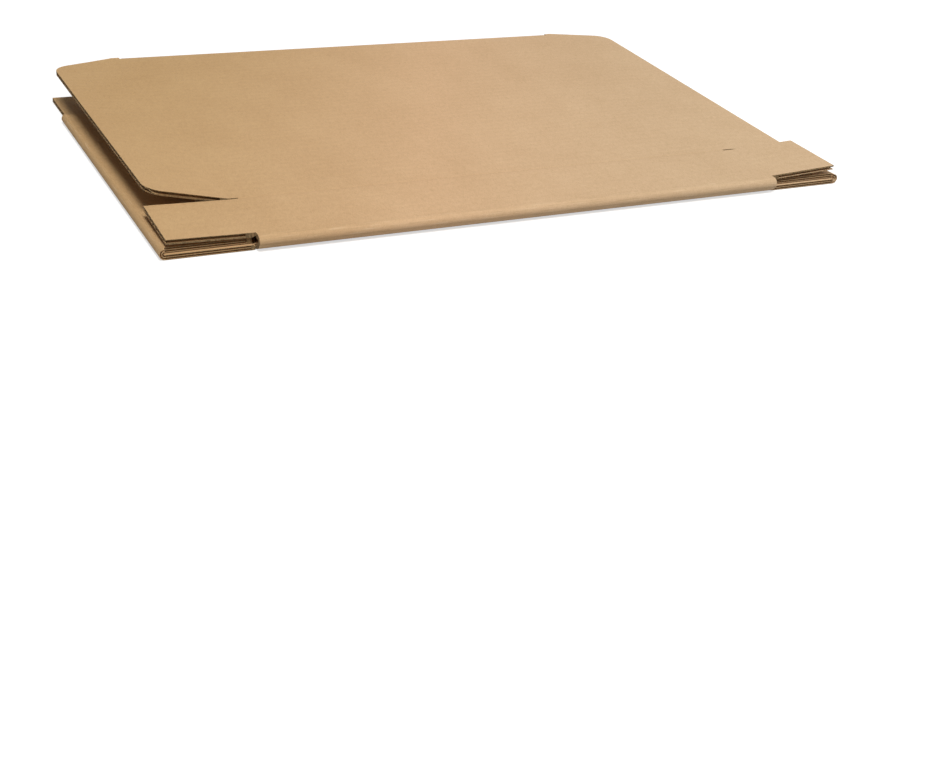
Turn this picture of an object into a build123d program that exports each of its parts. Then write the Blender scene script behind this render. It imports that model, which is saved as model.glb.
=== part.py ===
"""Roll-end mailer box, folded flat: one die-cut sheet of corrugated board.

The sheet lies as it ships. The base is underneath, and the back wall and the lid are folded over it
along one long fold at the near edge, where they stand open a little. The side walls are rolled
inwards, the tuck flap is folded in under the lid, and the left dust flap springs up from its crease.

X runs left to right along the flutes, Y from the near fold to the far edge, and Z up. The origin is
under the middle of the sheet, on the surface that it lies on. All sizes are in millimetres.

The panels above the long fold are drawn flat over the base, and are turned up together at the end.
"""

from build123d import *
import math
import os

os.makedirs("parts", exist_ok=True)

# The box, as it is sold by its width, depth and height
panel_width = 330.0
panel_depth = 254.0
wall_height = 50.8

# The board: two liners with a wavy medium between them
board = 2.8
liner = 0.35
medium = 0.35
flute_pitch = 6.5
layer_gap = 0.4

# Flaps, tabs and ears
corner_tab_reach = 47.0
dust_flap_reach = 46.5
dust_flap_shoulder = 5.0
dust_flap_chamfer = 15.0
dust_flap_near_radius = 9.0
dust_flap_far_radius = 14.0
tuck_height = 48.0
tuck_side_trim = 1.5
ear_reach = 38.0
ear_tip_radius = 8.0
ear_setback = 3.0
lock_tab_length = 88.0
lock_tab_reach = 4.0
lock_tab_corner = 1.5
lock_slot_inset = 3.0
lock_slot_clearance = 0.6

# Die-cut gaps between neighbouring panels
slit_width = 1.2
slit_overrun = 5.0
fold_end_trim = 0.5
corner_tab_setback = 3.0
outer_wall_setback = 2.0
inner_wall_setback = 4.0
inner_wall_clearance = 1.5

# The long fold: the base curves up gently, then turns over sharply into the back wall
spine_rise_radius = 9.0
spine_rise_angle = 55.0

# How far panels have turned up from their creases, in degrees: the lid at the long fold, each dust
# flap from its end at the slit to its far end, and each corner tab
lid_spring = 3.2
left_flap_spring = (12.5, 0.0)
right_flap_spring = (-3.0, 1.0)
left_tab_spring = 1.5
right_tab_spring = 3.0
twist_per_strip = 1.1

# Score lines and the crushed board beside them
score_width = 2.4
outer_score_depth = 0.15
inner_score_depth = 0.7
crushed_margin = 2.5

# Three layers lie on each other, with a small gap between them
layer_pitch = board + layer_gap
level_low = 0.0
level_middle = layer_pitch
level_top = 2 * layer_pitch

# The rolls and the tuck fold turn on themselves
roll_inner = layer_gap / 2
roll_outer = roll_inner + board
roll_centre_z = board + layer_gap / 2
tuck_centre_z = level_top - layer_gap / 2

# The long fold's nose, tangent to the base's rise and to the top of the back wall
lid_turn = math.radians(lid_spring)
spine_rise_turn = math.radians(spine_rise_angle)
spine_rise_height = spine_rise_radius * (1 - math.cos(spine_rise_turn))
spine_nose_radius = (level_top + board - spine_rise_height) / (1 + math.cos(spine_rise_turn))
spine_rise_length = (spine_rise_radius - spine_nose_radius) * math.sin(spine_rise_turn)
spine_nose_z = level_top + board - spine_nose_radius

# A crease takes its share of the board on each side of a fold
roll_take = math.pi / 2 * (roll_inner + board / 2)
spine_upper_take = (math.pi - spine_rise_turn - lid_turn) / 2 * (spine_nose_radius - board / 2)
spine_lower_take = spine_upper_take + spine_rise_turn * (spine_rise_radius - board / 2)

# Lines across the sheet, from the near fold to the far edge
lid_length = panel_depth - roll_take
lid_reach = wall_height - spine_upper_take + lid_length
lid_end_rise = (tuck_centre_z - spine_nose_z) * math.sin(lid_turn)
sheet_depth = spine_nose_radius + lid_reach * math.cos(lid_turn) - lid_end_rise + roll_outer
spine_y = spine_nose_radius - sheet_depth / 2
base_near_y = spine_y + spine_rise_length
lid_crease_y = spine_y + wall_height - spine_upper_take
lid_end_y = spine_y + lid_reach
front_crease_y = base_near_y + panel_depth - spine_lower_take
front_wall_end_y = front_crease_y + wall_height - board
tuck_edge_y = lid_end_y - (tuck_height - roll_take)
ear_back_y = lid_end_y - ear_setback
dust_flap_near_y = lid_crease_y + slit_width / 2
dust_flap_far_y = lid_end_y + roll_take
corner_tab_near_y = spine_y + corner_tab_setback
corner_tab_far_y = lid_crease_y - slit_width / 2
front_tab_near_y = front_crease_y + corner_tab_setback

# Lines along the sheet, from its middle to the right
side_crease_x = panel_width / 2
corner_tab_x = side_crease_x + corner_tab_reach
roll_x = side_crease_x + wall_height - roll_outer
inner_wall_edge_x = side_crease_x + inner_wall_clearance
tuck_side_x = side_crease_x - tuck_side_trim
ear_x = tuck_side_x + ear_reach
slit_end_x = side_crease_x - slit_overrun

# Ends of the side walls
outer_wall_near_y = spine_y + outer_wall_setback
outer_wall_far_y = front_crease_y - outer_wall_setback
inner_wall_near_y = spine_y + inner_wall_setback
inner_wall_far_y = front_crease_y - inner_wall_setback
lock_tab_middle_y = (spine_y + front_crease_y) / 2
slot_x = side_crease_x - lock_slot_inset - board / 2
slot_length = lock_tab_length + 2 * lock_slot_clearance

# The open flutes
flute_height = board - 2 * liner
wave_height = (flute_height - medium) / 2
wave_steps = 3
void_half_width = 0.42 * flute_pitch
flute_run_out = 3.0
first_flute_offset = 0.1 * flute_pitch
channel_height = (flute_height - medium) / 2
open_edge_depth = 2.0
tab_flute_length = corner_tab_reach + flute_run_out - crushed_margin


def outline(plane, points):
    """A flat face bounded by straight lines."""
    with BuildSketch(plane) as face:
        with BuildLine():
            Polyline(*points, close=True)
        make_face()
    return face.sketch


def half_ring(plane, inner, outer):
    """The section of a tight fold: half a ring that opens towards minus x of its plane."""
    with BuildSketch(plane) as ring:
        with BuildLine():
            Line((0, inner), (0, outer))
            ThreePointArc((0, outer), (outer, 0), (0, -outer))
            Line((0, -outer), (0, -inner))
            ThreePointArc((0, -inner), (inner, 0), (0, inner))
        make_face()
    return ring.sketch


def medium_height(across):
    """Height of the medium's upper face over the middle of the board, at a place across a flute."""
    turn = 2 * math.pi / flute_pitch
    slope = wave_height * turn * math.sin(turn * across)
    return -wave_height * math.cos(turn * across) + medium / 2 * math.hypot(1, slope)


def flute_voids(planes):
    """The two open channels of one flute, above and below the medium, on each plane given."""
    reach = [void_half_width * step / wave_steps for step in range(-wave_steps, wave_steps + 1)]
    trough = [(across, medium_height(across)) for across in reach[1:-1]]
    upper = [(reach[0], flute_height / 2), *trough, (reach[-1], flute_height / 2)]
    lower = [(across + flute_pitch / 2, -height) for across, height in upper]
    with BuildSketch(*planes) as voids:
        with BuildLine():
            Polyline(*upper, close=True)
        make_face()
        with BuildLine():
            Polyline(*lower, close=True)
        make_face()
    return voids.sketch


def flute_rows(near_y, far_y):
    """The flutes of a panel, counted from its near edge, which cuts the first one open."""
    count = math.ceil((far_y - near_y) / flute_pitch)
    return [near_y + first_flute_offset + flute_pitch * row for row in range(count)]


def flute_planes(near_y, far_y, outer_x, level):
    """Planes just outside a panel's right-hand edge, facing in along its flutes."""
    middle = level + board / 2
    rows = flute_rows(near_y, far_y)
    return [Plane((outer_x + flute_run_out, y, middle), x_dir=(0, 1, 0), z_dir=(-1, 0, 0)) for y in rows]


def score(start, end, up, depth):
    """A pressed score line: a shallow groove with sloping sides, along a line in a face."""
    run = Vector(*end) - Vector(*start)
    across = Vector(0, 0, up).cross(run.normalized())
    plane = Plane(start, x_dir=across, z_dir=run)
    rise = Vector(0, 0, up).dot(plane.y_dir)
    half = score_width / 2
    points = [(-half, 0), (half, 0), (half / 3, -rise * depth), (-half / 3, -rise * depth)]
    return extrude(outline(plane, points), amount=run.length, mode=Mode.PRIVATE)


def score_both(start, end, level, outer_up):
    """Score lines on both faces of a panel, deeper on the inner face, which the rule presses."""
    outer_z, inner_z = (level + board, level) if outer_up > 0 else (level, level + board)
    outer_line = score((*start, outer_z), (*end, outer_z), outer_up, outer_score_depth)
    inner_line = score((*start, inner_z), (*end, inner_z), -outer_up, inner_score_depth)
    return [outer_line, inner_line]


def channel_bands(inner_face):
    """The two channels beside the medium, measured across the board from its inner face."""
    first = inner_face + liner
    second = first + channel_height + medium
    return [(first, first + channel_height), (second, second + channel_height)]


def rolled_channels(plane, straight):
    """The channels along the cut end of a wall that is rolled over, round its fold."""
    with BuildSketch(plane) as channels:
        for inner, outer in channel_bands(roll_inner):
            with BuildLine():
                Line((-straight, inner), (0, inner))
                ThreePointArc((0, inner), (inner, 0), (0, -inner))
                Line((0, -inner), (0, -outer))
                ThreePointArc((0, -outer), (outer, 0), (0, outer))
                Polyline((0, outer), (-straight, outer), (-straight, inner))
            make_face()
    return channels.sketch


def straight_channels(plane, length):
    """The channels along a straight cut edge that runs with the flutes."""
    with BuildSketch(plane) as channels:
        for low, high in channel_bands(0):
            with Locations((length / 2, (low + high) / 2)):
                Rectangle(length, high - low)
    return channels.sketch


def turned_section(side, y, turn, length):
    """A turned panel cut across at one place: upright at its crease and square at its free end."""
    plane = Plane((side * side_crease_x, y, level_top), x_dir=(side, 0, 0), z_dir=(0, -side, 0))
    tip = Vector(length * math.cos(turn), board / 2 + length * math.sin(turn))
    half_board = Vector(-math.sin(turn), math.cos(turn)) * (board / 2)
    return outline(plane, [(0, 0), tip - half_board, tip + half_board, (0, board)])


def turned_flute_plane(side, y, turn, run):
    """A plane across a turned panel at a run from its crease, facing in along its slope at one flute."""
    outward = side_crease_x + run * math.cos(turn)
    upward = level_top + board / 2 + run * math.sin(turn)
    inwards = (-side * math.cos(turn), 0, -math.sin(turn))
    return Plane((side * outward, y, upward), x_dir=(0, 1, 0), z_dir=inwards)


def dust_flap_plan(near_turn, far_turn):
    """A turned right dust flap in plan, with a far chamfer and rounded free corners."""
    near_x = side_crease_x + dust_flap_reach * math.cos(near_turn)
    far_x = side_crease_x + dust_flap_reach * math.cos(far_turn)
    with BuildSketch(Plane.XY.offset(level_top - dust_flap_reach)) as plan:
        with BuildLine():
            Polyline(
                (side_crease_x, dust_flap_near_y),
                (near_x, dust_flap_near_y),
                (far_x, dust_flap_far_y - dust_flap_chamfer),
                (side_crease_x + dust_flap_shoulder, dust_flap_far_y),
                (side_crease_x, dust_flap_far_y),
                close=True,
            )
        make_face()
        fillet(plan.vertices().group_by(Axis.Y)[1], radius=dust_flap_far_radius)
        fillet(plan.vertices().group_by(Axis.Y)[0].sort_by(Axis.X)[-1], radius=dust_flap_near_radius)
    return plan.sketch


def corner_tab(side, spring):
    """A corner tab of the back wall that has turned at its crease, with open flutes at its end."""
    turn = math.radians(spring)
    end_y = corner_tab_far_y if side > 0 else corner_tab_near_y
    section = turned_section(side, end_y, turn, corner_tab_reach)
    void_start = corner_tab_reach + flute_run_out
    with BuildPart() as tab:
        extrude(section, amount=corner_tab_far_y - corner_tab_near_y)
        rows = flute_rows(corner_tab_near_y, corner_tab_far_y)
        voids = flute_voids([turned_flute_plane(side, y, turn, void_start) for y in rows])
        extrude(voids, amount=void_start - 2 * crushed_margin, mode=Mode.SUBTRACT)
    return tab.part


def dust_flap(side, spring):
    """A dust flap that has turned and twisted at its crease, with open flutes along its free edge."""
    near_turn, far_turn = (math.radians(angle) for angle in spring)
    depth = dust_flap_far_y - dust_flap_near_y
    length = dust_flap_reach + 2 * board
    strips = max(1, math.ceil(abs(spring[1] - spring[0]) / twist_per_strip))
    places = [dust_flap_near_y + depth * strip / strips for strip in range(strips + 1)]

    def turn_at(y):
        return near_turn + (far_turn - near_turn) * (y - dust_flap_near_y) / depth

    with BuildPart() as flap:
        loft(sections=[turned_section(side, y, turn_at(y), length) for y in places], ruled=True)
        plan = dust_flap_plan(near_turn, far_turn)
        if side < 0:
            plan = mirror(plan, about=Plane.YZ, mode=Mode.PRIVATE)
        extrude(plan, amount=2 * dust_flap_reach + board, mode=Mode.INTERSECT)
        rows = flute_rows(dust_flap_near_y, dust_flap_far_y)
        voids = flute_voids([turned_flute_plane(side, y, turn_at(y), length) for y in rows])
        extrude(voids, amount=length - 2 * crushed_margin, mode=Mode.SUBTRACT)
    return flap.part


def long_fold():
    """The section of the long fold, from the base's gentle rise to its sharp turn into the back wall."""
    rise_centre = (-spine_rise_length, spine_rise_radius)
    nose_centre = (0, spine_nose_z)
    nose_start = spine_rise_angle - 90
    nose_sweep = 180 - spine_rise_angle - lid_spring
    with BuildSketch(Plane((0, spine_y, 0), x_dir=(0, -1, 0), z_dir=(-1, 0, 0))) as fold:
        with BuildLine():
            outer_rise = CenterArc(rise_centre, spine_rise_radius, -90, spine_rise_angle)
            inner_rise = CenterArc(rise_centre, spine_rise_radius - board, -90, spine_rise_angle)
            outer_nose = CenterArc(nose_centre, spine_nose_radius, nose_start, nose_sweep)
            inner_nose = CenterArc(nose_centre, spine_nose_radius - board, nose_start, nose_sweep)
            Line(outer_rise @ 0, inner_rise @ 0)
            Line(outer_nose @ 1, inner_nose @ 1)
        make_face()
    return fold.sketch


# Right half of the panels that lie on the ground, with the long fold
with BuildPart() as lower_half:
    # Base, front wall and outer side wall
    lower_layer = [
        (0, base_near_y),
        (side_crease_x, base_near_y),
        (side_crease_x, outer_wall_near_y),
        (roll_x, outer_wall_near_y),
        (roll_x, outer_wall_far_y),
        (side_crease_x, outer_wall_far_y),
        (side_crease_x, front_tab_near_y),
        (corner_tab_x, front_tab_near_y),
        (corner_tab_x, front_wall_end_y),
        (0, front_wall_end_y),
    ]
    extrude(outline(Plane.XY.offset(level_low), lower_layer), amount=board)

    # The side wall's rolled top edge
    roll_plane = Plane((roll_x, outer_wall_near_y, roll_centre_z), x_dir=(1, 0, 0), z_dir=(0, 1, 0))
    extrude(half_ring(roll_plane, roll_inner, roll_outer), amount=outer_wall_far_y - outer_wall_near_y)

    # Inner side wall, folded back over the outer one, with its lock tab
    inner_wall = [
        (inner_wall_edge_x, inner_wall_near_y),
        (roll_x, inner_wall_near_y),
        (roll_x, inner_wall_far_y),
        (inner_wall_edge_x, inner_wall_far_y),
        (inner_wall_edge_x, lock_tab_middle_y + lock_tab_length / 2),
        (inner_wall_edge_x - lock_tab_reach, lock_tab_middle_y + lock_tab_length / 2 - lock_tab_corner),
        (inner_wall_edge_x - lock_tab_reach, lock_tab_middle_y - lock_tab_length / 2 + lock_tab_corner),
        (inner_wall_edge_x, lock_tab_middle_y - lock_tab_length / 2),
    ]
    extrude(outline(Plane.XY.offset(level_middle), inner_wall), amount=board)

    # The long fold between the base and the back wall
    extrude(long_fold(), amount=fold_end_trim - side_crease_x)

    # The slot in the base that takes the lock tab when the box is set up
    with BuildSketch(Plane.XY):
        with Locations((slot_x, lock_tab_middle_y)):
            SlotOverall(slot_length, board + lock_slot_clearance, rotation=90)
    extrude(amount=board, mode=Mode.SUBTRACT)

    # Open flutes at the end of the front wall's corner tab
    front_flutes = flute_planes(front_tab_near_y, front_wall_end_y, corner_tab_x, level_low)
    extrude(flute_voids(front_flutes), amount=tab_flute_length, mode=Mode.SUBTRACT)

    # The cut ends of the rolled side wall, and the front wall's far edge
    rolled_straight = roll_x - side_crease_x - crushed_margin
    near_end = Plane((roll_x, outer_wall_near_y, roll_centre_z), x_dir=(1, 0, 0), z_dir=(0, 1, 0))
    far_end = Plane((roll_x, outer_wall_far_y, roll_centre_z), x_dir=(1, 0, 0), z_dir=(0, 1, 0))
    extrude(rolled_channels(near_end, rolled_straight), amount=open_edge_depth, mode=Mode.SUBTRACT)
    extrude(rolled_channels(far_end, rolled_straight), amount=-open_edge_depth, mode=Mode.SUBTRACT)
    inner_run = roll_x - inner_wall_edge_x - crushed_margin
    inner_start_x = inner_wall_edge_x + crushed_margin
    for end_y, inward in ((inner_wall_near_y, 1), (inner_wall_far_y, -1)):
        end = Plane((inner_start_x, end_y, level_middle), x_dir=(1, 0, 0), z_dir=(0, -1, 0))
        extrude(straight_channels(end, inner_run), amount=-inward * open_edge_depth, mode=Mode.SUBTRACT)
    front_edge = Plane((0, front_wall_end_y, level_low), x_dir=(1, 0, 0), z_dir=(0, -1, 0))
    front_run = side_crease_x - crushed_margin
    extrude(straight_channels(front_edge, front_run), amount=open_edge_depth, mode=Mode.SUBTRACT)

    # Score lines where the flat panels meet
    wall_ends = (outer_wall_near_y, outer_wall_far_y)
    scores = score_both(*((side_crease_x, y) for y in wall_ends), level_low, -1)
    scores += score_both((0, front_crease_y), (side_crease_x, front_crease_y), level_low, -1)
    scores += score_both((side_crease_x, front_tab_near_y), (side_crease_x, front_wall_end_y), level_low, -1)
    add(scores, mode=Mode.SUBTRACT)

# Right half of the back wall, the lid and the tuck flap, drawn flat over the base
with BuildPart() as upper_half:
    # Back wall and lid, with the slit between the corner tab and the dust flap
    upper_layer = [
        (0, spine_y),
        (side_crease_x - fold_end_trim, spine_y),
        (side_crease_x - fold_end_trim, corner_tab_near_y),
        (side_crease_x, corner_tab_near_y),
        (side_crease_x, corner_tab_far_y),
        (slit_end_x, corner_tab_far_y),
        (slit_end_x, dust_flap_near_y),
        (side_crease_x, dust_flap_near_y),
        (side_crease_x, lid_end_y),
        (0, lid_end_y),
    ]
    extrude(outline(Plane.XY.offset(level_top), upper_layer), amount=board)

    # The fold between the lid and the tuck flap
    tuck_plane = Plane((0, lid_end_y, tuck_centre_z), x_dir=(0, 1, 0), z_dir=(1, 0, 0))
    extrude(half_ring(tuck_plane, roll_inner, roll_outer), amount=tuck_side_x)

    # Tuck flap under the lid, with its rounded ear
    with BuildSketch(Plane.XY.offset(level_middle)) as tuck:
        with BuildLine():
            Polyline((0, lid_end_y), (0, tuck_edge_y), (tuck_side_x, tuck_edge_y))
            EllipticalCenterArc(
                (tuck_side_x, ear_back_y - ear_tip_radius),
                ear_reach,
                ear_back_y - ear_tip_radius - tuck_edge_y,
                start_angle=270,
                arc_size=90,
            )
            tip = (ear_x - ear_tip_radius, ear_back_y)
            TangentArc((ear_x, ear_back_y - ear_tip_radius), tip, tangent=(0, 1))
            Polyline(tip, (tuck_side_x, ear_back_y), (tuck_side_x, lid_end_y), (0, lid_end_y))
        make_face()
    extrude(amount=board)

    # Open flutes at the end of the ear
    ear_flutes = flute_planes(tuck_edge_y, ear_back_y, ear_x, level_middle)
    extrude(flute_voids(ear_flutes), amount=ear_reach + flute_run_out - crushed_margin, mode=Mode.SUBTRACT)

    # Score lines between the back wall and the lid, and between the tuck flap and its ear
    scores = score_both((0, lid_crease_y), (slit_end_x, lid_crease_y), level_top, 1)
    scores += score_both((tuck_side_x, tuck_edge_y), (tuck_side_x, ear_back_y), level_middle, -1)
    add(scores, mode=Mode.SUBTRACT)

left_corner_tab = corner_tab(-1, left_tab_spring)
right_corner_tab = corner_tab(1, right_tab_spring)
left_dust_flap = dust_flap(-1, left_flap_spring)
right_dust_flap = dust_flap(1, right_flap_spring)

# Everything above the long fold
with BuildPart() as upper_panels:
    add(upper_half.part)
    mirror(upper_half.part, about=Plane.YZ)
    add([left_corner_tab, right_corner_tab, left_dust_flap, right_dust_flap])

    # Score lines at the side creases, pressed from the inside
    for crease_x in (-side_crease_x, side_crease_x):
        for near_y, far_y in ((corner_tab_near_y, corner_tab_far_y), (dust_flap_near_y, dust_flap_far_y)):
            start = (crease_x, near_y, level_top)
            end = (crease_x, far_y, level_top)
            add(score(start, end, -1, inner_score_depth), mode=Mode.SUBTRACT)

nose_axis = Axis((0, spine_y, spine_nose_z), (1, 0, 0))
raised_panels = upper_panels.part.rotate(nose_axis, lid_spring)

# The whole folded sheet
with BuildPart() as folded_blank:
    add(lower_half.part)
    mirror(lower_half.part, about=Plane.YZ)
    add(raised_panels)

folded_blank.part.label = "folded_blank"
export_step(folded_blank.part, "parts/folded_blank.step")
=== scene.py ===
# %% [markdown]
# A mailer box of plain kraft corrugated board, folded flat. The folded sheet comes from the packed
# model and keeps its shape. This script gives it what a maker would call the stock: the paper, the
# stretched folds, the chopped edges and the fibres that stand out of them. Then it sets the floor,
# the lamps and the camera. It works in metres: X runs along the flutes, Y away from the long fold
# and Z up.

# %% Load the folded sheet
import math

import bmesh
import bpy
from mathutils import Matrix, Vector


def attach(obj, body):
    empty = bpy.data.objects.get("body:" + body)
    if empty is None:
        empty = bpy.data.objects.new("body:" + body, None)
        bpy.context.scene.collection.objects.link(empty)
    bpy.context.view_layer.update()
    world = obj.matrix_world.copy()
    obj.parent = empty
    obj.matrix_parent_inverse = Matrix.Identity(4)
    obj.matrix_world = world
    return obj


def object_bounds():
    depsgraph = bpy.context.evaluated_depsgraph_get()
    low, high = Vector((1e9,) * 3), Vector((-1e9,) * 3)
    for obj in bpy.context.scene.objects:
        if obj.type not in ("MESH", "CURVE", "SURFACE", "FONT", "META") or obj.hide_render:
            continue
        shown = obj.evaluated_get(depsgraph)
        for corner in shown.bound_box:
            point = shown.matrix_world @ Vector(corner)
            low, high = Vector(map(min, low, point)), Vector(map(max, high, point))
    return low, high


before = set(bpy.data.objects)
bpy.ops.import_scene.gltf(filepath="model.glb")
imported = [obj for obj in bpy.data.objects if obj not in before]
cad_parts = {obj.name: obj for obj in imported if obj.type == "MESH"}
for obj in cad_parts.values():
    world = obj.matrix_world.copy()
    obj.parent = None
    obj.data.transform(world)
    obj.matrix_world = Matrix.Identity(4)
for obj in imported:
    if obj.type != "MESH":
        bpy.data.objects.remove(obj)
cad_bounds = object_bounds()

scene = bpy.context.scene
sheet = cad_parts["folded_blank"]
print("nodes:", sorted(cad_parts))
print("triangles in the sheet:", len(sheet.data.polygons))

# %% [markdown]
# The sheet has three kinds of surface: broad faces of liner paper, tight folds where that paper is
# stretched, and edges that a steel rule has chopped. Each could be a piece with a material of its
# own, but they are one sheet, so one material tells them apart by place and by direction. These are
# the lines of the sheet that it needs.

# %% Lines of the sheet
mm = 0.001
side_crease = 165.0 * mm
tab_end = 212.4 * mm
long_fold = -148.3 * mm
tuck_fold = 149.6 * mm
tuck_fold_height = 14.0 * mm
flute_pitch = 6.5 * mm
first_flute = -99.7 * mm
print("flutes across the lid:", round((tuck_fold - first_flute) / flute_pitch))

# %% [markdown]
# A material is a graph of nodes. It could be wired by hand in the node editor, but a script can be
# read, changed and run again. These helpers keep the script short: a source is either the output of
# another node, which is linked, or a plain value, which is set on the input.

# %% Helpers for wiring
def connect(tree, source, target):
    """Links an output to an input, or sets the input where the source is a plain value."""
    if isinstance(source, bpy.types.NodeSocket):
        tree.links.new(source, target)
    else:
        target.default_value = source


def add_node(tree, kind, inputs=(), **settings):
    """Adds a node, sets its settings, and fills its inputs from (name or number, source) pairs."""
    node = tree.nodes.new(kind)
    for name, value in settings.items():
        setattr(node, name, value)
    for name, source in inputs:
        connect(tree, source, node.inputs[name])
    return node


def calc(tree, operation, *values):
    """One step of arithmetic on one, two or three values."""
    return add_node(tree, "ShaderNodeMath", enumerate(values), operation=operation).outputs[0]


def new_material(name):
    """A material with an empty graph, its graph, and the graph's end."""
    material = bpy.data.materials.new(name)
    material.use_nodes = True
    tree = material.node_tree
    tree.nodes.clear()
    return material, tree, tree.nodes.new("ShaderNodeOutputMaterial")


kraft_board, tree, board_end = new_material("kraft_board")
print("material:", kraft_board.name)

# %% [markdown]
# Masks come first. The nose of a fold is stretched paper and a chopped edge is bare pulp, yet both
# face sideways. The masks could be painted, but the sheet would have to be unwrapped for that. So
# the folds are told apart by place: past the ends of the tabs, in front of the long fold, or beyond
# the end of the lid. The material reads Object coordinates, which stay with the sheet wherever it
# is used.

# %% Where the folds are
coordinates = tree.nodes.new("ShaderNodeTexCoord")
place = coordinates.outputs["Object"]
x, y, z = add_node(tree, "ShaderNodeSeparateXYZ", [(0, place)]).outputs
from_middle = calc(tree, "ABSOLUTE", x)

on_roll = calc(tree, "GREATER_THAN", from_middle, tab_end)
on_long_fold = calc(tree, "LESS_THAN", y, long_fold)
past_lid = calc(tree, "MULTIPLY", calc(tree, "GREATER_THAN", y, tuck_fold),
                calc(tree, "GREATER_THAN", z, tuck_fold_height))
on_tuck_fold = calc(tree, "MULTIPLY", past_lid, calc(tree, "LESS_THAN", from_middle, side_crease))
on_cross_fold = calc(tree, "MAXIMUM", on_long_fold, on_tuck_fold)
on_fold = calc(tree, "MAXIMUM", on_roll, on_cross_fold)
off_fold = calc(tree, "SUBTRACT", 1.0, on_fold)
print("the folds take", len(tree.nodes), "nodes")

# %% [markdown]
# What faces sideways and is no fold has been chopped, and the walls of the open flutes behind such
# an edge are of the same brown medium. A mask by place would need a line for every edge. This one
# goes by direction: it takes surfaces that slope steeply, and leaves the shallow slope of a crease
# alone. The two folds along X end in chopped edges too, which look straight along X. On real board
# pulp and paper run into each other, so the mask is a smooth step and not a hard comparison.

# %% Where the chopped edges are
def step_between(tree, value, low, high, start=0.0, end=1.0):
    """Goes smoothly from start to end as the value goes from low to high."""
    inputs = [("Value", value), ("From Min", low), ("From Max", high)]
    inputs += [("To Min", start), ("To Max", end)]
    node = add_node(tree, "ShaderNodeMapRange", inputs, interpolation_type="SMOOTHSTEP")
    return node.outputs["Result"]


steep_upright = (0.45, 0.30)
steep_sideways = (0.35, 0.50)
straight_along_x = 0.9
facing = add_node(tree, "ShaderNodeSeparateXYZ", [(0, coordinates.outputs["Normal"])])
sideways_x, sideways_y, upright = [calc(tree, "ABSOLUTE", part) for part in facing.outputs]
chopped = calc(tree, "MAXIMUM", step_between(tree, upright, *steep_upright),
               step_between(tree, sideways_y, *steep_sideways))
along_x = calc(tree, "GREATER_THAN", sideways_x, straight_along_x)
fold_end = calc(tree, "MULTIPLY", on_cross_fold, along_x)
cut_edge = calc(tree, "MAXIMUM", calc(tree, "MULTIPLY", chopped, off_fold), fold_end)
print("both masks take", len(tree.nodes), "nodes")

# %% [markdown]
# Kraft paper is cloudy: the pulp lies thicker in some places, in clouds of some centimetres and in
# grains of a few millimetres. They could be painted by hand, but a noise of each size makes both,
# never repeats and stays sharp in a close-up. A Mapping node of the Texture kind takes the size of
# one feature as its Scale. It also turns the pattern before it stretches it, so that a long thin
# feature really leans. The Point kind would do it the other way round.

# %% Clouds and grains in the pulp
def noise(tree, place, feature, detail=3.0, roughness=0.6, turn=0.0):
    """A noise whose features are so many millimetres long along X, Y and Z, turned about Z."""
    inputs = [("Vector", place), ("Rotation", (0.0, 0.0, turn))]
    inputs += [("Scale", tuple(size * mm for size in feature))]
    mapped = add_node(tree, "ShaderNodeMapping", inputs, vector_type="TEXTURE")
    inputs = [("Vector", mapped.outputs[0]), ("Scale", 1.0)]
    inputs += [("Detail", detail), ("Roughness", roughness)]
    return add_node(tree, "ShaderNodeTexNoise", inputs).outputs["Fac"]


cloud_size = (33.0, 45.0, 33.0)
grain_size = (2.4, 3.3, 2.4)
cloud = noise(tree, place, cloud_size, detail=4.0, roughness=0.55)
grain = noise(tree, place, grain_size)
print("clouds are", cloud_size[1], "mm long and grains", grain_size[1], "mm")

# %% [markdown]
# Kraft liner is unbleached paper: a felt of pale and dark fibres three or four millimetres long,
# most of them lying across the flutes. A picture of paper could be laid on, but it would repeat and
# carry its own light. Here the fibres are contour lines of two stretched noises, one leaning each
# way. The lines come out as long thin loops.

# %% Fibres in the liner
def contours(tree, patterns, levels, width):
    """Bright where any of the patterns is near its own level."""
    lines = []
    for pattern, level in zip(patterns, levels):
        distance = calc(tree, "ABSOLUTE", calc(tree, "SUBTRACT", pattern, level))
        lines.append(step_between(tree, distance, width, 0.0))
    return calc(tree, "MAXIMUM", *lines)


fibre_lean = math.radians(24)
fibre_size = (0.6, 3.8, 0.6)
pale_levels, pale_width = (0.47, 0.53), 0.05
dark_levels, dark_width = (0.60, 0.41), 0.04
felt = [noise(tree, place, fibre_size, detail=1.0, roughness=0.5, turn=lean)
        for lean in (fibre_lean, -fibre_lean)]
pale_fibres = contours(tree, felt, pale_levels, pale_width)
dark_fibres = contours(tree, felt, dark_levels, dark_width)
print("fibres lean", round(math.degrees(fibre_lean)), "degrees each way")

# %% [markdown]
# From further off the fibres melt into a soft mottle, and the flutes underneath show through as
# faint bands, the washboard. A crease is darkened too, which is painted shade in the groove of the
# score. Each could be a layer of paint with a colour of its own, but they all go into one tone
# between dark and pale. How dark the painted shade in a crease is was chosen to match the picture.

# %% Tone of the liner
broad_upright = (0.90, 0.98)
crease_shade_slope = (0.075, 0.12)
turns = calc(tree, "MULTIPLY", calc(tree, "SUBTRACT", y, first_flute), 2 * math.pi / flute_pitch)
broad_face = step_between(tree, upright, *broad_upright)
washboard = calc(tree, "MULTIPLY", calc(tree, "COSINE", turns), broad_face)
# Painted shade where the face slopes into the groove of a crease.
painted_crease_shade = calc(tree, "MULTIPLY", step_between(tree, sideways_y, *crease_shade_slope), off_fold)

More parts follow.
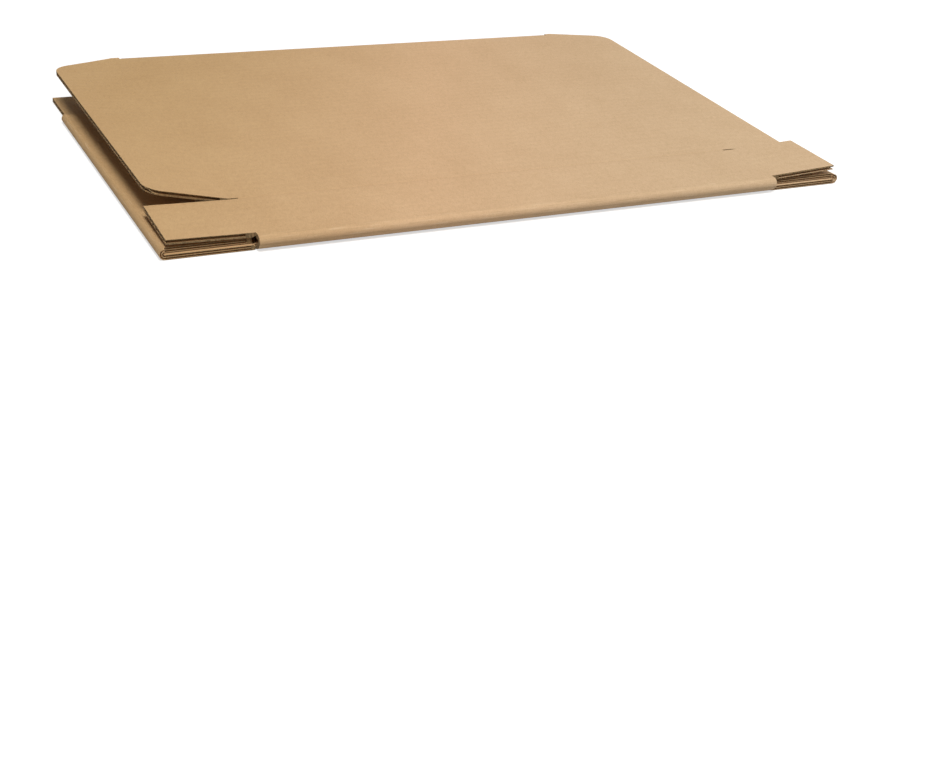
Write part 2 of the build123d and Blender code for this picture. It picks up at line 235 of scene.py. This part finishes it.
middle_tone = 0.5
both_ways = ((cloud, 0.42), (grain, 0.50))
one_way = ((pale_fibres, 0.16), (dark_fibres, -0.26), (washboard, 0.02), (painted_crease_shade, -0.14))
tone = middle_tone
for pattern, weight in both_ways:
    swing = calc(tree, "SUBTRACT", pattern, middle_tone)
    tone = calc(tree, "MULTIPLY_ADD", swing, weight, tone)
for pattern, weight in one_way:
    tone = calc(tree, "MULTIPLY_ADD", pattern, weight, tone)
print("the tone is a sum of", len(both_ways) + len(one_way), "patterns")

# %% [markdown]
# Kraft paper isn't one brown made lighter and darker: its dark parts are redder, and its pale parts
# are greyer. Two colours could be mixed, but a ramp with a third one in the middle lets the brown
# that most of the sheet has be set by itself.

# %% Colours of the liner
def three_colours(tree, value, low, middle, high):
    """Goes from the low colour by the middle one to the high one as the value goes from 0 to 1."""
    ramp = add_node(tree, "ShaderNodeValToRGB", [("Fac", value)])
    ramp.color_ramp.elements.new(0.5)
    for element, colour in zip(ramp.color_ramp.elements, (low, middle, high)):
        element.color = (*colour, 1.0)
    return ramp.outputs["Color"]


liner_dark = (0.495, 0.302, 0.158)
liner_middle = (0.625, 0.401, 0.235)
liner_pale = (0.740, 0.505, 0.310)
liner = three_colours(tree, tone, liner_dark, liner_middle, liner_pale)
print("kraft_board has", len(tree.nodes), "nodes so far")

# %% [markdown]
# In the picture the top drifts on a slant, from a warm, darker brown at the far left to a greyer
# one at the near right. That drift comes from light: painted shade at the far left and a greyer
# painted light at the near right. Lamps could make it, but they would move the shadows too. So it
# is a wide ramp of painted light over the paper, chosen to match the picture under this scene's
# lamps. For another scene it can be left out by making all three of its colours white.

# %% Painted light over the sheet
def mix_colour(tree, share, first, second, blend="MIX"):
    """Mixes two colours by a share. The Mix node takes colours at its inputs 6 and 7."""
    node = add_node(tree, "ShaderNodeMix", data_type="RGBA", blend_type=blend)
    for number, source in ((0, share), (6, first), (7, second)):
        connect(tree, source, node.inputs[number])
    return node.outputs[2]


painted_light_reach = 230.0 * mm
painted_light_slant = -0.45
# Painted shade at the far left, a little in the middle, and greyer painted light at the near right.
painted_shade_left = (0.830, 0.810, 0.630)
painted_light_middle = (1.0, 0.995, 0.935)
painted_light_right = (0.930, 1.0, 1.0)
across = calc(tree, "MULTIPLY_ADD", y, painted_light_slant, x)
across = step_between(tree, across, -painted_light_reach, painted_light_reach)
painted_light_drift = three_colours(tree, across, painted_shade_left, painted_light_middle, painted_light_right)
# The painted light and shade are multiplied into the colour of the liner.
liner = mix_colour(tree, 1.0, liner, painted_light_drift, "MULTIPLY")
print("nodes of the drift and all before it:", len(tree.nodes))

# %% [markdown]
# Recycled pulp carries small dark specks. They could be scattered as tiny discs, but they lie in
# the paper and not on it. A Voronoi pattern gives one point in each cell: close to it is a speck,
# and the cell's own random colour sets how large it is and leaves most cells without one.

# %% Specks
speck_spacing = 3.8 * mm
widest_speck = 0.075
least_draw = 0.72
speck_strength = 0.55
speck_brown = (0.20, 0.105, 0.042, 1.0)
inputs = [("Vector", place), ("Scale", 1.0 / speck_spacing)]
cells = add_node(tree, "ShaderNodeTexVoronoi", inputs)
draw = add_node(tree, "ShaderNodeSeparateColor", [(0, cells.outputs["Color"])]).outputs[0]
speck_reach = step_between(tree, draw, least_draw, 1.0, 0.0, widest_speck)
speck = calc(tree, "LESS_THAN", cells.outputs["Distance"], speck_reach)
liner = mix_colour(tree, calc(tree, "MULTIPLY", speck, speck_strength), liner, speck_brown)
print("widest speck:", round(2 * widest_speck * speck_spacing / mm, 2), "mm")

# %% [markdown]
# On a fold the outer liner is stretched over a tight nose. Fine cracks open along it and show paler
# fibre, and between them the paper is burnished darker. One long noise can't follow all the folds:
# the rolled walls run along Y and the others along X. So the same streaks are made twice, and the
# mask of the rolled walls chooses between them.

# %% Stretched paper on the folds
streak_length, streak_width = 22.0, 0.67
size_along_x = (streak_length, streak_width, streak_width)
size_along_y = (streak_width, streak_length, streak_width)
streaks_along_x = noise(tree, place, size_along_x)
streaks_along_y = noise(tree, place, size_along_y)
inputs = [("Factor", on_roll), ("A", streaks_along_x), ("B", streaks_along_y)]
streaks = add_node(tree, "ShaderNodeMix", inputs).outputs["Result"]

crack_levels, crack_strength = (0.56, 0.68), 0.45
crack_pale = (0.74, 0.56, 0.35, 1.0)
burnish_levels, burnish_strength = (0.44, 0.34), 0.35
burnished_brown = (0.40, 0.25, 0.115, 1.0)
for levels, strength, colour in ((crack_levels, crack_strength, crack_pale),
                                 (burnish_levels, burnish_strength, burnished_brown)):
    mask = calc(tree, "MULTIPLY", step_between(tree, streaks, *levels), on_fold)
    liner = mix_colour(tree, calc(tree, "MULTIPLY", mask, strength), liner, colour)
print("kraft_board has", len(tree.nodes), "nodes so far")

# %% [markdown]
# A chopped edge shows the pulp itself: darker than the face and matt, with short streaks down the
# cut where the rule has dragged fibres with it. Its two browns are partly the pulp's own colour and
# partly painted shade, the shadow in the open flutes and on the edge darkened into them. The
# strands could be modelled, but they would take more triangles than the whole sheet. So a streaky
# mix of two browns stands for them, and the mask of the chopped edges lays it on.

# %% Pulp and painted shade on the chopped edges
# These browns hold painted shade of the open flutes as well as the colour of the pulp.
dark_pulp_and_shade = (0.115, 0.070, 0.028, 1.0)
pale_pulp_and_shade = (0.380, 0.248, 0.118, 1.0)
drag_size = (0.7, 0.7, 3.3)
drag_levels = (0.3, 0.7)
drag = noise(tree, place, drag_size, roughness=0.65)
pulp_and_painted_shade = mix_colour(tree, step_between(tree, drag, *drag_levels), dark_pulp_and_shade, pale_pulp_and_shade)
# The chopped edges get the pulp with its painted shade.
stock_colour = mix_colour(tree, cut_edge, liner, pulp_and_painted_shade)
print("kraft_board has", len(tree.nodes), "nodes so far")

# %% [markdown]
# Paper isn't smooth: it has hundredths of a millimetre of relief on its face, and more on torn
# pulp. The mesh could be displaced, but it would need millions of triangles. A Bump node only leans
# the normals. The relief is added up in metres and goes in at a strength and distance of 1, so each
# part keeps its real depth.

# %% Relief
on_folds = calc(tree, "MULTIPLY", streaks, on_fold)
on_cuts = calc(tree, "MULTIPLY", drag, cut_edge)
depths = ((washboard, 0.030), (grain, 0.035), (pale_fibres, 0.010), (on_folds, 0.060),
          (on_cuts, 0.160))
relief = 0.0
for pattern, depth in depths:
    relief = calc(tree, "MULTIPLY_ADD", pattern, depth * mm, relief)
bump = add_node(tree, "ShaderNodeBump", [("Strength", 1.0), ("Distance", 1.0), ("Height", relief)])
print("deepest relief:", max(depth for pattern, depth in depths), "mm")

# %% [markdown]
# Kraft board has a dull sheen on its face and less on its edges. One roughness for all of it would
# look like plastic, so the grain varies it and the chopped edges add to it. Only the colour,
# roughness and normal vary, so only they are linked: the gloss is a number on the shader.

# %% Gloss
gloss = 0.4
grain_levels = (0.3, 0.7)
smoothest, roughest = 0.74, 0.86
extra_on_cuts = 0.10
roughness = step_between(tree, grain, *grain_levels, smoothest, roughest)
roughness = calc(tree, "MULTIPLY_ADD", cut_edge, extra_on_cuts, roughness)
inputs = [("Base Color", stock_colour), ("Roughness", roughness), ("Specular IOR Level", gloss),
          ("Normal", bump.outputs["Normal"])]
paper = add_node(tree, "ShaderNodeBsdfPrincipled", inputs)
connect(tree, paper.outputs["BSDF"], board_end.inputs["Surface"])
for slot in sheet.material_slots:
    slot.material = kraft_board
print("kraft_board has", len(tree.nodes), "nodes")

# %% [markdown]
# A chopped edge is never quite clean: the rule pulls short fibres out of the liners and the medium.
# They could be hair particles, but the model is kept as meshes, so they are scattered with Geometry
# Nodes. The ground they stand on is the chopped faces alone, taken from a copy of the sheet whose
# loose triangles are merged first.

# %% Chopped faces to grow fibres on
merge_distance = 0.001 * mm
most_upright = 0.35
ground_copy = bmesh.new()
ground_copy.from_mesh(sheet.data)
bmesh.ops.remove_doubles(ground_copy, verts=ground_copy.verts, dist=merge_distance)


def is_chopped(face):
    """True for a face that the cutting rule has made, and not for the nose of a fold."""
    middle = face.calc_center_median()
    on_lid_end = middle.y > tuck_fold and middle.z > tuck_fold_height
    nose = (abs(middle.x) > tab_end or middle.y < long_fold
            or (on_lid_end and abs(middle.x) < side_crease))
    return abs(face.normal.z) < most_upright and not nose


other_faces = [face for face in ground_copy.faces if not is_chopped(face)]
bmesh.ops.delete(ground_copy, geom=other_faces, context="FACES")
chopped_area = sum(face.calc_area() for face in ground_copy.faces)
ground_mesh = bpy.data.meshes.new("chopped_faces")
ground_copy.to_mesh(ground_mesh)
ground_copy.free()
print("chopped faces:", len(ground_mesh.polygons), "with", round(chopped_area * 1e4, 1), "cm2")

# %% [markdown]
# The loose fibres are pale where they are clean and brown where they are pulp. Each could have a
# random colour of its own, but real ones come in tufts. So the noise that colours them is slow
# beside their spacing, and neighbours look alike.

# %% Finish of the loose fibres
loose_fibre, tree, fibre_end = new_material("loose_fibre")
place = tree.nodes.new("ShaderNodeTexCoord").outputs["Object"]
tuft_size = (3.8, 3.8, 1.1)
tuft_levels = (0.32, 0.68)
tuft_brown = (0.23, 0.140, 0.062, 1.0)
tuft_pale = (0.60, 0.420, 0.250, 1.0)
brown_roughness, pale_roughness = 0.95, 0.80
tuft = step_between(tree, noise(tree, place, tuft_size, detail=2.0), *tuft_levels)
tuft_colour = mix_colour(tree, tuft, tuft_brown, tuft_pale)
tuft_roughness = step_between(tree, tuft, 0.0, 1.0, brown_roughness, pale_roughness)
inputs = [("Base Color", tuft_colour), ("Roughness", tuft_roughness)]
strand = add_node(tree, "ShaderNodeBsdfPrincipled", inputs)
connect(tree, strand.outputs["BSDF"], fibre_end.inputs["Surface"])
print("loose_fibre has", len(tree.nodes), "nodes")

# %% [markdown]
# A Geometry Nodes tree is a small machine with its settings on the outside. The numbers could sit
# inside it, but then it would have to be opened for every change. These are its inputs: the faces
# to grow on, how many fibres to a square metre, their sizes and lean, the seed for everything
# random, and the box that they stay inside.

# %% Inputs of the fibre tree
fibre_tree = bpy.data.node_groups.new("edge_fibres", "GeometryNodeTree")
input_kinds = {"Chopped faces": "Geometry", "Density": "Float", "Length": "Float",
               "Thickness": "Float", "Curl": "Float", "Lean": "Float", "Seed": "Int",
               "Finish": "Material", "Box middle": "Vector", "Box half": "Vector"}
identifiers = {}
for name, kind in input_kinds.items():
    socket = fibre_tree.interface.new_socket(name, in_out="INPUT", socket_type="NodeSocket" + kind)
    identifiers[name] = socket.identifier
fibre_tree.interface.new_socket("Fibres", in_out="OUTPUT", socket_type="NodeSocketGeometry")
given = fibre_tree.nodes.new("NodeGroupInput").outputs
position = fibre_tree.nodes.new("GeometryNodeInputPosition").outputs[0]
print("inputs:", ", ".join(identifiers))

# %% [markdown]
# A pulled fibre is thinner than a hair, tapers to a point and curls as it rises. A curve swept with
# a round section could show that, but with several times as many triangles. A closed cone of three
# sides is enough for something so thin, and light enough to repeat thousands of times. Its foot is
# sunk a little into the paper.

# %% One fibre
sides, rings = 3, 3
inputs = [("Vertices", sides), ("Side Segments", rings), ("Radius Top", 0.0),
          ("Radius Bottom", given["Thickness"]), ("Depth", given["Length"])]
cone = add_node(fibre_tree, "GeometryNodeMeshCone", inputs, fill_type="NGON")
height = add_node(fibre_tree, "ShaderNodeSeparateXYZ", [(0, position)]).outputs[2]
risen = calc(fibre_tree, "DIVIDE", height, given["Length"])
furthest = calc(fibre_tree, "MULTIPLY", given["Length"], given["Curl"])
curl = calc(fibre_tree, "MULTIPLY", calc(fibre_tree, "MULTIPLY", risen, risen), furthest)
sunk = calc(fibre_tree, "MULTIPLY", given["Thickness"], -1.0)
shift = add_node(fibre_tree, "ShaderNodeCombineXYZ", [("X", curl), ("Z", sunk)])
inputs = [("Geometry", cone.outputs["Mesh"]), ("Offset", shift.outputs[0])]
fibre = add_node(fibre_tree, "GeometryNodeSetPosition", inputs)
print("one fibre has", sides, "sides and", rings, "rings")

# %% [markdown]
# Pulled fibres stand all along a cut, here close together and there apart. They could be placed one
# by one from a list, but scattering is quicker and looks less regular. It puts points on the
# chopped faces, and each point brings the direction that its face looks in.

# %% Scatter the points
inputs = [("Mesh", given["Chopped faces"]), ("Density", given["Density"]), ("Seed", given["Seed"])]
points = add_node(fibre_tree, "GeometryNodeDistributePointsOnFaces", inputs)
print("the tree has", len(fibre_tree.nodes), "nodes so far")

# %% [markdown]
# No two pulled fibres stand alike, and with one fixed turn they would look like a comb. Each is
# turned the way its face looks, then spun about itself, leaned and made smaller at random. All the
# random draws come from the one seed, so the same fibres come back each time. The Random Value node
# has inputs and an output of its own for each kind of value, so they are found by number.

# %% Turn and size of each fibre
def random_between(tree, kind, low, high, offset):
    """A random value for each point, from the tree's own seed plus an offset."""
    first_input, output = {"FLOAT_VECTOR": (0, 0), "FLOAT": (2, 1)}[kind]
    node = add_node(tree, "FunctionNodeRandomValue", data_type=kind)
    connect(tree, low, node.inputs[first_input])
    connect(tree, high, node.inputs[first_input + 1])
    connect(tree, calc(tree, "ADD", given["Seed"], offset), node.inputs["Seed"])
    return node.outputs[output]


turn_draw, size_draw = 1, 2
smallest_size = 0.35
turn_limits = []
for sign in (-1.0, 1.0):
    lean = calc(fibre_tree, "MULTIPLY", given["Lean"], sign)
    inputs = [("X", lean), ("Y", lean), ("Z", sign * math.pi)]
    turn_limits.append(add_node(fibre_tree, "ShaderNodeCombineXYZ", inputs).outputs[0])
random_turn = random_between(fibre_tree, "FLOAT_VECTOR", *turn_limits, turn_draw)
inputs = [("Rotation", points.outputs["Rotation"]), ("Rotate By", random_turn)]
turned = add_node(fibre_tree, "FunctionNodeRotateRotation", inputs, rotation_space="LOCAL")
random_size = random_between(fibre_tree, "FLOAT", smallest_size, 1.0, size_draw)
print("the tree has", len(fibre_tree.nodes), "nodes so far")

# %% [markdown]
# The dressed sheet may be no larger than the bare one. Fibres could be clipped at the sides of the
# sheet's box, but their cut ends would show. So a point with less than 1.2 fibre lengths of room to
# the nearest side of the box gets no fibre at all.

# %% Keep them inside the box
def vector_calc(tree, operation, *values):
    """One step of arithmetic on vectors."""
    return add_node(tree, "ShaderNodeVectorMath", enumerate(values), operation=operation)


lengths_of_room = 1.2
from_box_middle = vector_calc(fibre_tree, "SUBTRACT", position, given["Box middle"]).outputs[0]
distance = vector_calc(fibre_tree, "ABSOLUTE", from_box_middle).outputs[0]
room = vector_calc(fibre_tree, "SUBTRACT", given["Box half"], distance).outputs[0]
room_x, room_y, room_z = add_node(fibre_tree, "ShaderNodeSeparateXYZ", [(0, room)]).outputs
least_room = calc(fibre_tree, "MINIMUM", calc(fibre_tree, "MINIMUM", room_x, room_y), room_z)
needed_room = calc(fibre_tree, "MULTIPLY", given["Length"], lengths_of_room)
has_room = calc(fibre_tree, "GREATER_THAN", least_room, needed_room)
print("the tree has", len(fibre_tree.nodes), "nodes so far")

# %% [markdown]
# Each point that is left gets a copy of the one fibre. The copies could stay instances, but the
# model is kept as plain meshes, so the tree ends in Realize Instances and Set Material. They turn
# thousands of copies into one mesh with its finish on.

# %% Copies of the fibre
inputs = [("Points", points.outputs["Points"]), ("Selection", has_room),
          ("Instance", fibre.outputs[0]), ("Rotation", turned.outputs[0]), ("Scale", random_size)]
placed = add_node(fibre_tree, "GeometryNodeInstanceOnPoints", inputs)
real = add_node(fibre_tree, "GeometryNodeRealizeInstances", [("Geometry", placed.outputs[0])])
inputs = [("Geometry", real.outputs[0]), ("Material", given["Finish"])]
finished = add_node(fibre_tree, "GeometryNodeSetMaterial", inputs)
tree_end = fibre_tree.nodes.new("NodeGroupOutput")
connect(fibre_tree, finished.outputs[0], tree_end.inputs[0])
print("the tree has", len(fibre_tree.nodes), "nodes")

# %% [markdown]
# The fibres belong to the sheet and ride with it. The modifier could stay on, but a plain mesh can
# be kept and moved anywhere. So the settings go onto the modifier before the object is first
# evaluated, the result is copied into a mesh of its own, and the grower is taken away.

# %% Grow the fibres
fibre_count = 13000
low, high = (Vector(corner) for corner in cad_bounds)
grower = bpy.data.objects.new("chopped_faces", ground_mesh)
scene.collection.objects.link(grower)
modifier = grower.modifiers.new("edge_fibres", "NODES")
modifier.node_group = fibre_tree
settings = {"Density": fibre_count / chopped_area, "Length": 1.0 * mm, "Thickness": 0.03 * mm,
            "Curl": 0.6, "Lean": math.radians(38), "Seed": 7, "Finish": loose_fibre,
            "Box middle": (low + high) / 2, "Box half": (high - low) / 2}
for name, value in settings.items():
    modifier[identifiers[name]] = value
evaluated = grower.evaluated_get(bpy.context.evaluated_depsgraph_get())
fibre_mesh = bpy.data.meshes.new_from_object(evaluated)
bpy.data.objects.remove(grower)
loose_fibres = bpy.data.objects.new("loose_fibres", fibre_mesh)
scene.collection.objects.link(loose_fibres)
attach(loose_fibres, "root")
print("fibre triangles:", sum(len(face.vertices) - 2 for face in fibre_mesh.polygons))

# %% [markdown]
# The background is to be white. A bright white world would do it, but white light from all round
# would flatten the sheet. The Light Path node tells who is asking: what the camera sees, directly
# or in something glossy or clear, may be white, while rays that only carry light get less.

# %% White background with little light
def background_seen(tree):
    """1 for a ray that shows the background, and 0 for one that only carries light."""
    rays = tree.nodes.new("ShaderNodeLightPath").outputs
    mirrored = calc(tree, "MAXIMUM", rays["Is Glossy Ray"], rays["Is Transmission Ray"])
    return calc(tree, "MAXIMUM", rays["Is Camera Ray"], mirrored)


white = (1.0, 1.0, 1.0, 1.0)
even_light, seen_light = 0.06, 1.0
world = bpy.data.worlds.new("studio")
scene.world = world
world.use_nodes = True
tree = world.node_tree
tree.nodes.clear()
even, seen = (add_node(tree, "ShaderNodeBackground", [("Color", white), ("Strength", strength)])
              for strength in (even_light, seen_light))
inputs = [(0, background_seen(tree)), (1, even.outputs[0]), (2, seen.outputs[0])]
choice = add_node(tree, "ShaderNodeMixShader", inputs)
world_end = tree.nodes.new("ShaderNodeOutputWorld")
connect(tree, choice.outputs[0], world_end.inputs["Surface"])
print("even light:", even_light, "of the white that is seen")

# %% [markdown]
# A sheet with nothing under it seems to float. The floor could be a curved backdrop, but the sheet
# is to be seen from all round, so the floor is a wide pale plane just under it.

# %% Floor
floor_reach = 12.0
floor_drop = 0.2 * mm
floor_mesh = bpy.data.meshes.new("floor")
signs = ((-1, -1), (1, -1), (1, 1), (-1, 1))
corners = [(a * floor_reach, b * floor_reach, -floor_drop) for a, b in signs]
floor_mesh.from_pydata(corners, [], [(0, 1, 2, 3)])
floor = bpy.data.objects.new("floor", floor_mesh)
scene.collection.objects.link(floor)
print("floor:", 2 * floor_reach, "m wide")

# %% [markdown]
# The floor has to show a soft shadow close to the sheet and melt into the white further out. A
# plain matt floor would end in grey. This one adds some white to the rays that see it, a part near
# the sheet and all of it further out, so the shadow stays and the rest is white from any side.

# %% Finish of the floor
floor_grey = (0.55, 0.55, 0.55, 1.0)
near, far = 0.30, 0.85
near_whiteness, far_whiteness = 0.62, 1.0
pale_floor, tree, floor_end = new_material("pale_floor")
place = tree.nodes.new("ShaderNodeTexCoord").outputs["Object"]
from_sheet = vector_calc(tree, "LENGTH", place).outputs["Value"]
whiteness = step_between(tree, from_sheet, near, far, near_whiteness, far_whiteness)
glow_strength = calc(tree, "MULTIPLY", background_seen(tree), whiteness)
glow = add_node(tree, "ShaderNodeEmission", [("Strength", glow_strength)])
matt = add_node(tree, "ShaderNodeBsdfDiffuse", [("Color", floor_grey)])
both = add_node(tree, "ShaderNodeAddShader", [(0, matt.outputs[0]), (1, glow.outputs[0])])
connect(tree, both.outputs[0], floor_end.inputs["Surface"])
floor_mesh.materials.append(pale_floor)
print("the floor adds all of its white from", far, "m on")

# %% [markdown]
# Two soft lamps do the rest. A sun would be simpler, but its shadows are hard. The key stands high
# in front and a little to the left, so the top and the nose of the long fold are bright, and the
# sprung flap throws a dark, narrow shadow into the gap under it. The fill stands on the right, and
# makes the top a little brighter towards that side. Both were set by comparing with the picture.

# %% Lamps
def add_lamp(name, place, width, watts):
    """A square soft lamp that faces the middle of the sheet."""
    lamp_data = bpy.data.lights.new(name, "AREA")
    lamp_data.shape = "SQUARE"
    lamp_data.size = width
    lamp_data.energy = watts
    lamp = bpy.data.objects.new(name, lamp_data)
    lamp.location = place
    lamp.rotation_euler = (-Vector(place)).to_track_quat("-Z", "Y").to_euler()
    scene.collection.objects.link(lamp)
    print(name, "stands at", place, "m")


add_lamp("key_lamp", place=(-0.45, -1.45, 2.60), width=1.0, watts=77.0)
add_lamp("fill_lamp", place=(1.00, -0.20, 0.70), width=1.0, watts=5.1)

# %% [markdown]
# The camera looks from low in front of the long fold, and from its left end, as in the picture. It
# could be placed by eye, but then the edges would lie where they don't belong. So its lens, place
# and turns are fitted to the outline of the sheet in the picture. It starts by looking straight
# down. It is turned about that line, then raised, then swung to the side, and the three matrices
# are multiplied in the opposite order.

# %% Camera
camera_place = (-0.374251, -0.806941, 0.276236)
camera_turns = (-27.170, 63.024, 3.656)
camera_data = bpy.data.cameras.new("camera")
camera_data.sensor_width = 36.0
camera_data.lens = 54.102
camera_data.clip_start = 0.01
camera = bpy.data.objects.new("camera", camera_data)
yaw, pitch, roll = (math.radians(turn) for turn in camera_turns)
aim = Matrix.Rotation(yaw, 4, "Z") @ Matrix.Rotation(pitch, 4, "X") @ Matrix.Rotation(roll, 4, "Z")
camera.matrix_world = Matrix.Translation(camera_place) @ aim
scene.collection.objects.link(camera)
scene.camera = camera
scene.view_settings.view_transform = "Standard"
print("camera height:", round(camera.matrix_world.translation.z, 3), "m")
